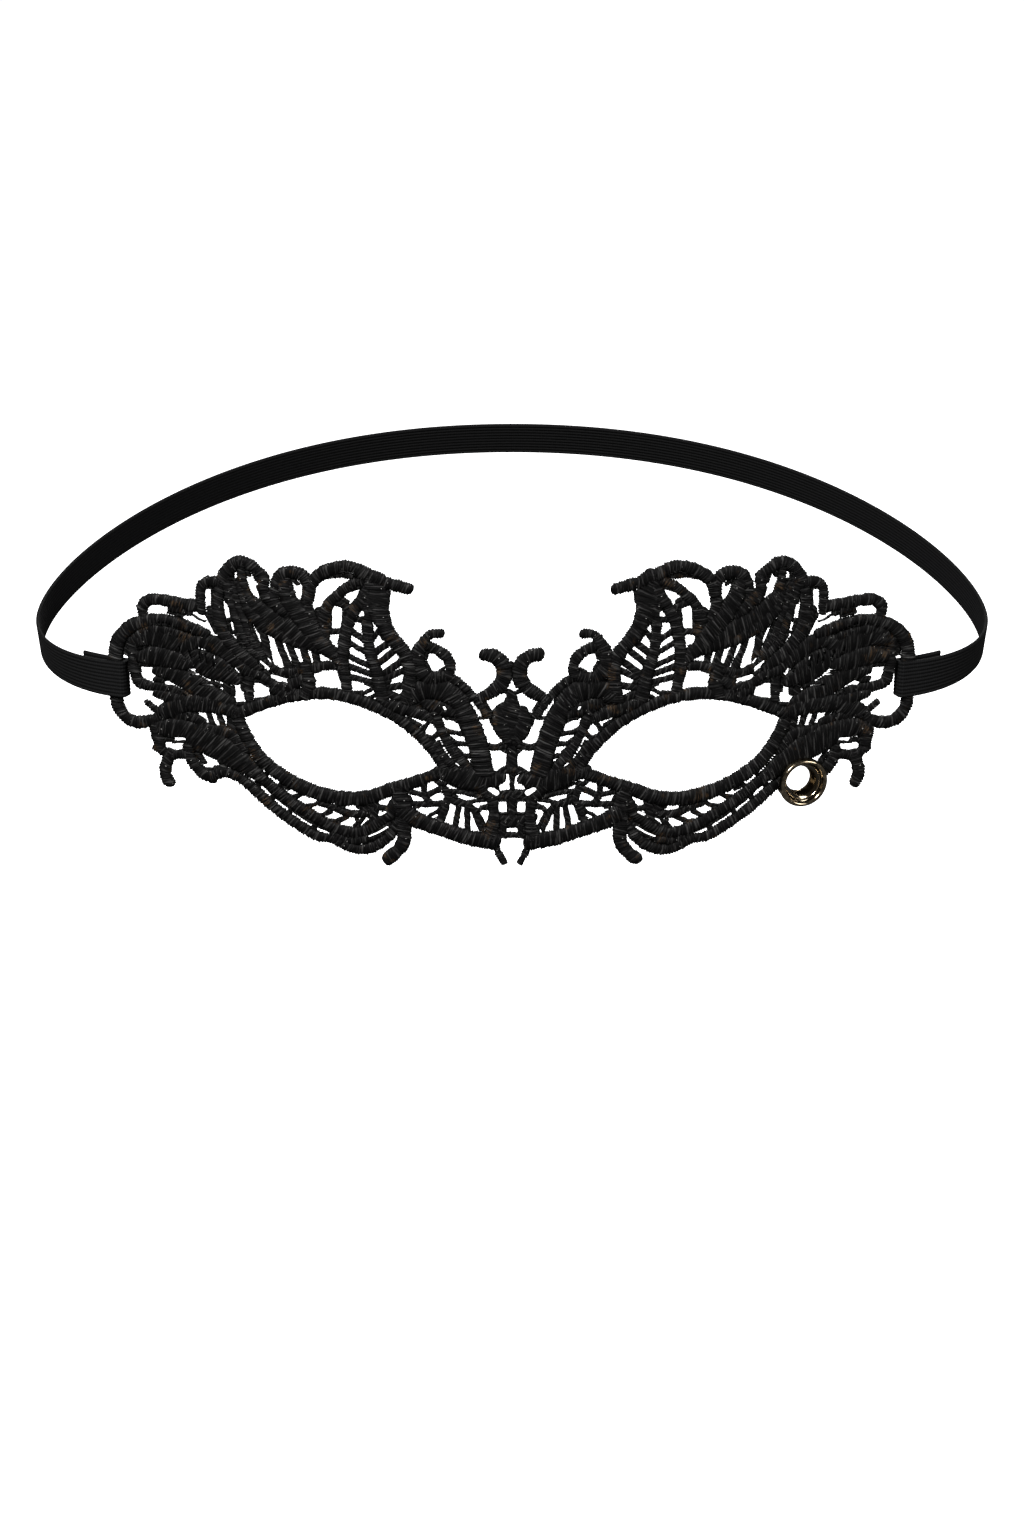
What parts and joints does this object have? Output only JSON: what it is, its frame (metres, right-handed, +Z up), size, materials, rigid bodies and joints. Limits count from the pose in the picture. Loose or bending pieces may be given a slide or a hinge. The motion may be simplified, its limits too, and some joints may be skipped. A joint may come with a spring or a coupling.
{
  "type": "lace eye mask",
  "caption": "Pierced black lace half mask for the eyes, with an elastic strap round the head and a metal eyelet at one lower edge.",
  "frame": {"origin": "the nose bridge, on the back of the lace, level with the inner corners of the eye holes", "axes": "+X to the right as seen from the front (the wearer's left), -Y forward, away from the face, +Z up"},
  "size_m": [0.2552, 0.1302, 0.0909],
  "materials": {
    "lace_thread": "satin-stitched rayon thread, soft sheen",
    "elastic": "ribbed knitted elastic, matt",
    "eyelet_metal": "dark antique brass, polished roll"
  },
  "bodies": {
    "root": {"lace": "lace_thread", "strap": "elastic", "eyelet": "eyelet_metal"}
  },
  "joints": []
}
